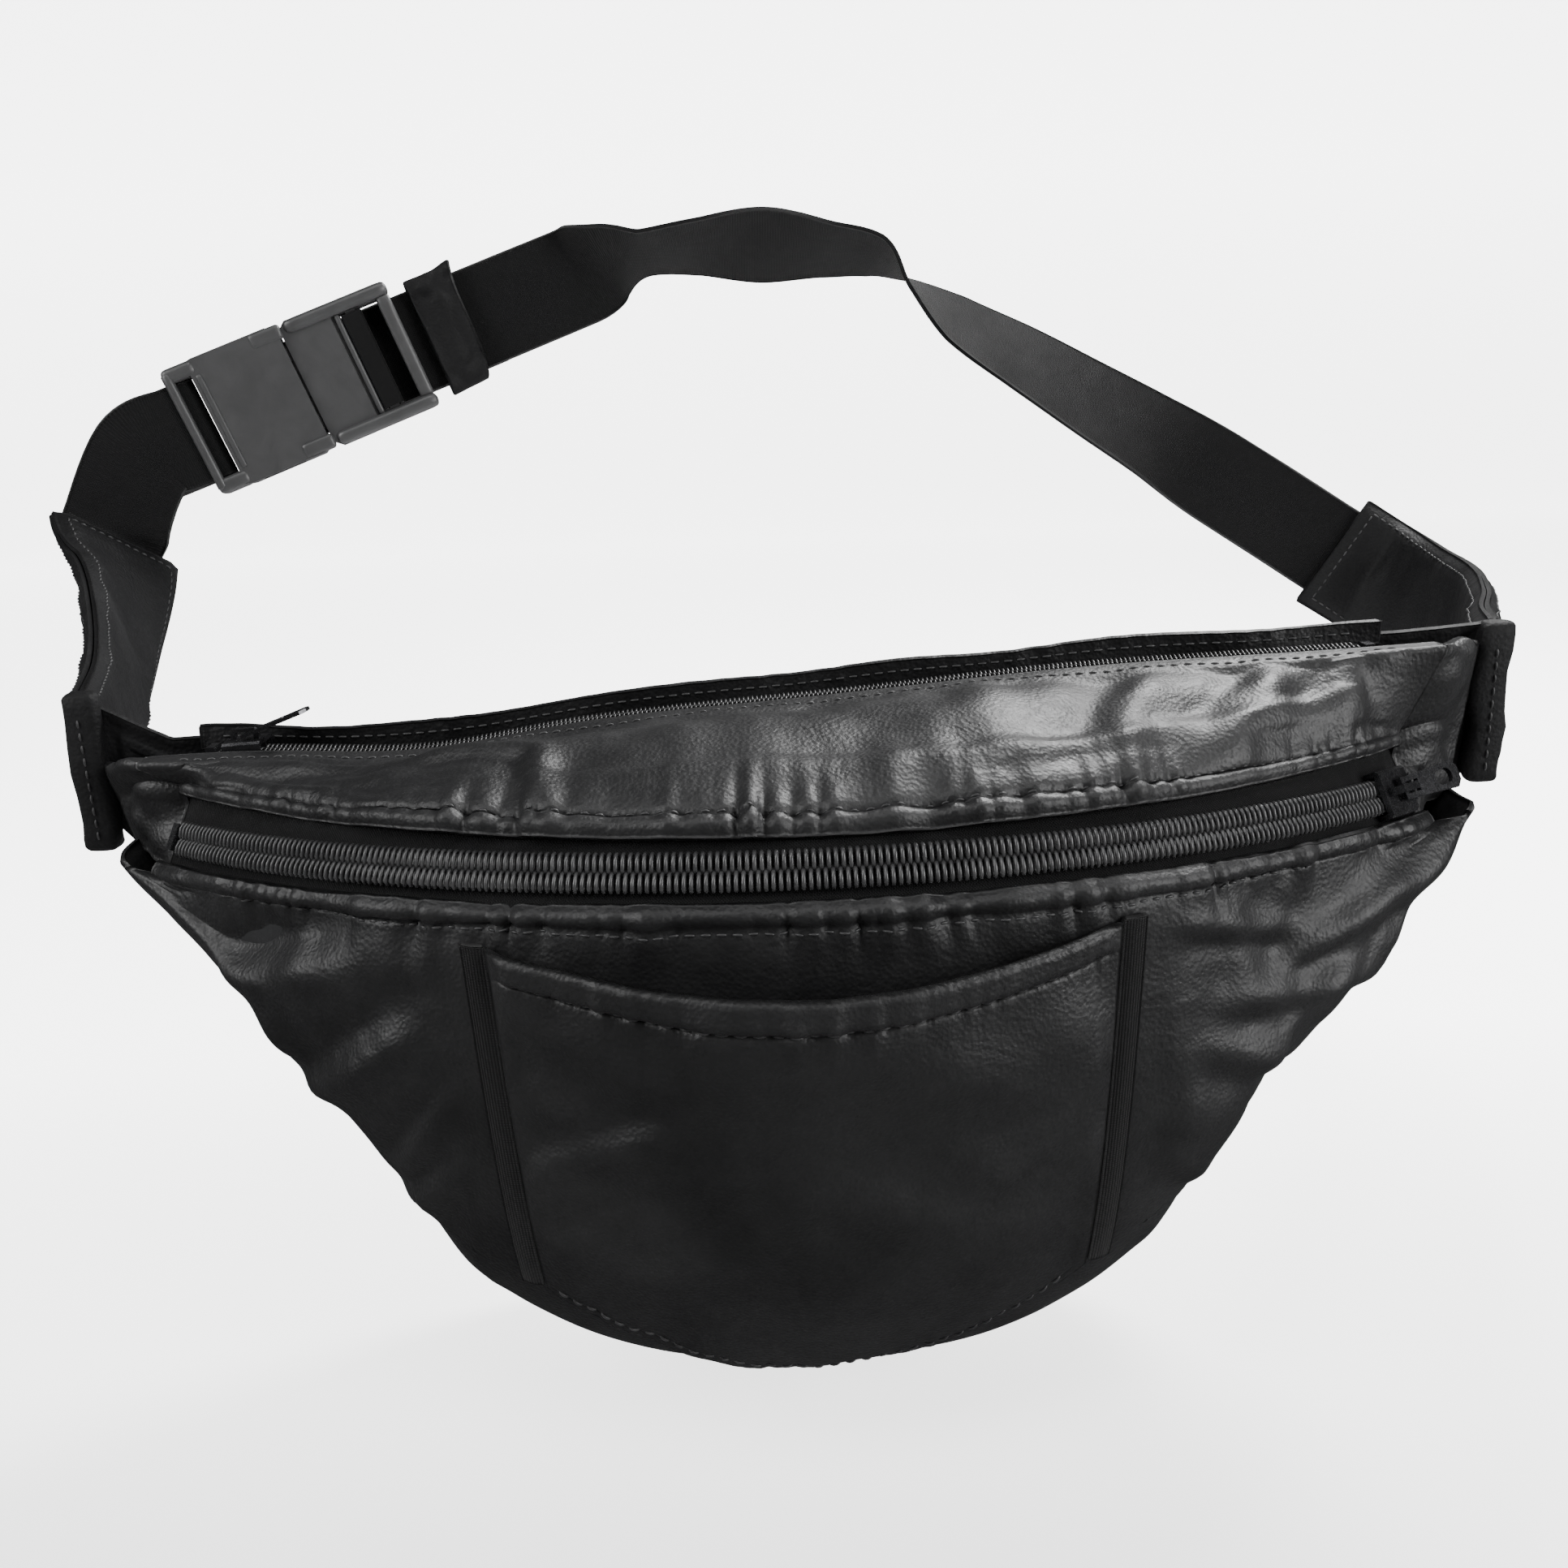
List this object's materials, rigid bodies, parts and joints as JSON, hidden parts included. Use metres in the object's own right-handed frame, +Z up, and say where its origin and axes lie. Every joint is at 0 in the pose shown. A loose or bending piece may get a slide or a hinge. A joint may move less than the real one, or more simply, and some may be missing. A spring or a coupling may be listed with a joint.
{
  "type": "waist pack",
  "caption": "Soft leather waist pack with a curved front zip, a rear zip pocket, a gaping front patch pocket, leather wings, and a webbing belt with a side-release buckle.",
  "frame": {"origin": "middle of the flat back face that lies on the wearer", "axes": "+X along the pouch to the right as seen from in front, +Y towards the wearer, +Z up"},
  "size_m": [0.5515, 0.3608, 0.3272],
  "materials": {
    "soft_leather": "soft semi-gloss grain",
    "leather_edging": "folded edge, matt",
    "lining_cloth": "plain weave",
    "padding": "soft foam laminate",
    "zip_tape": "herringbone weave",
    "zip_coil": "nylon coil",
    "dark_metal": "black nickel",
    "webbing": "heavy ribbed webbing",
    "buckle_plastic": "fine satin"
  },
  "bodies": {
    "pouch_and_belt": {"back_panel": "soft_leather", "top_panel": "soft_leather", "front_panel": "soft_leather", "patch_pocket": "soft_leather", "wing_left_inner": "soft_leather", "wing_left_outer": "soft_leather", "wing_right_inner": "soft_leather", "wing_right_outer": "soft_leather", "rear_lip": "leather_edging", "seam_piping": "leather_edging", "end_cap_left": "leather_edging", "end_cap_right": "leather_edging", "pocket_hem": "leather_edging", "rear_pocket_divider": "lining_cloth", "main_lining": "lining_cloth", "back_padding": "padding", "front_tape_upper": "zip_tape", "front_tape_lower": "zip_tape", "rear_tape_front": "zip_tape", "rear_tape_back": "zip_tape", "front_coil_upper": "zip_coil", "front_coil_lower": "zip_coil", "rear_coil_front": "zip_coil", "rear_coil_back": "zip_coil", "front_stop_left": "dark_metal", "front_stop_right": "dark_metal", "rear_stop_left": "dark_metal", "rear_stop_right": "dark_metal", "webbing_left": "webbing", "webbing_main": "webbing", "webbing_tail": "webbing", "pocket_strip_left": "webbing", "pocket_strip_right": "webbing", "buckle_socket": "buckle_plastic"},
    "front_slider": {"front_slider": "dark_metal"},
    "front_pull_tab": {"front_pull_tab": "dark_metal"},
    "rear_slider": {"rear_slider": "dark_metal"},
    "rear_pull_tab": {"rear_pull_tab": "dark_metal"},
    "buckle_plug": {"buckle_plug": "buckle_plastic", "webbing_bar_loop": "webbing"},
    "prong_upper": {"prong_upper": "buckle_plastic"},
    "prong_lower": {"prong_lower": "buckle_plastic"},
    "strap_keeper": {"strap_keeper": "leather_edging"}
  },
  "joints": [
    {"name": "front_zip_travel", "type": "hinge", "parent": "pouch_and_belt", "child": "front_slider", "pos_m": [0, 0.15368, 0.03991], "axis": [0, 0.1045, 0.9945], "range_deg": [-78.8, 0]},
    {"name": "front_pull_tab_flip", "type": "hinge", "parent": "front_slider", "child": "front_pull_tab", "pos_m": [0.15583, -0.03441, 0.06215], "axis": [-0.2685, 0.4193, 0.8672], "range_deg": [-168, 5]},
    {"name": "rear_zip_travel", "type": "slide", "parent": "pouch_and_belt", "child": "rear_slider", "axis": [0.9988, 0, 0.0499], "range_m": [0, 0.29]},
    {"name": "rear_pull_tab_flip", "type": "hinge", "parent": "rear_slider", "child": "rear_pull_tab", "pos_m": [-0.14523, -0.009, 0.08227], "axis": [0, 1, 0], "range_deg": [-157, 12]},
    {"name": "buckle_release", "type": "slide", "parent": "pouch_and_belt", "child": "buckle_plug", "axis": [0.9151, 0.22, 0.338], "range_m": [0, 0.03], "deforming": ["prong_upper", "prong_lower"]},
    {"name": "prong_upper_squeeze", "type": "hinge", "parent": "buckle_plug", "child": "prong_upper", "pos_m": [-0.1903, 0.21013, 0.18333], "axis": [0.2064, -0.9755, 0.0762], "range_deg": [0, 16], "stiffness_Nm_per_rad": 0.4},
    {"name": "prong_lower_squeeze", "type": "hinge", "parent": "buckle_plug", "child": "prong_lower", "pos_m": [-0.1806, 0.21013, 0.15707], "axis": [0.2064, -0.9755, 0.0762], "range_deg": [-16, 0], "stiffness_Nm_per_rad": 0.4},
    {"name": "keeper_slide", "type": "slide", "parent": "buckle_plug", "child": "strap_keeper", "axis": [0.9151, 0.22, 0.338], "range_m": [-0.006, 0.012]}
  ]
}
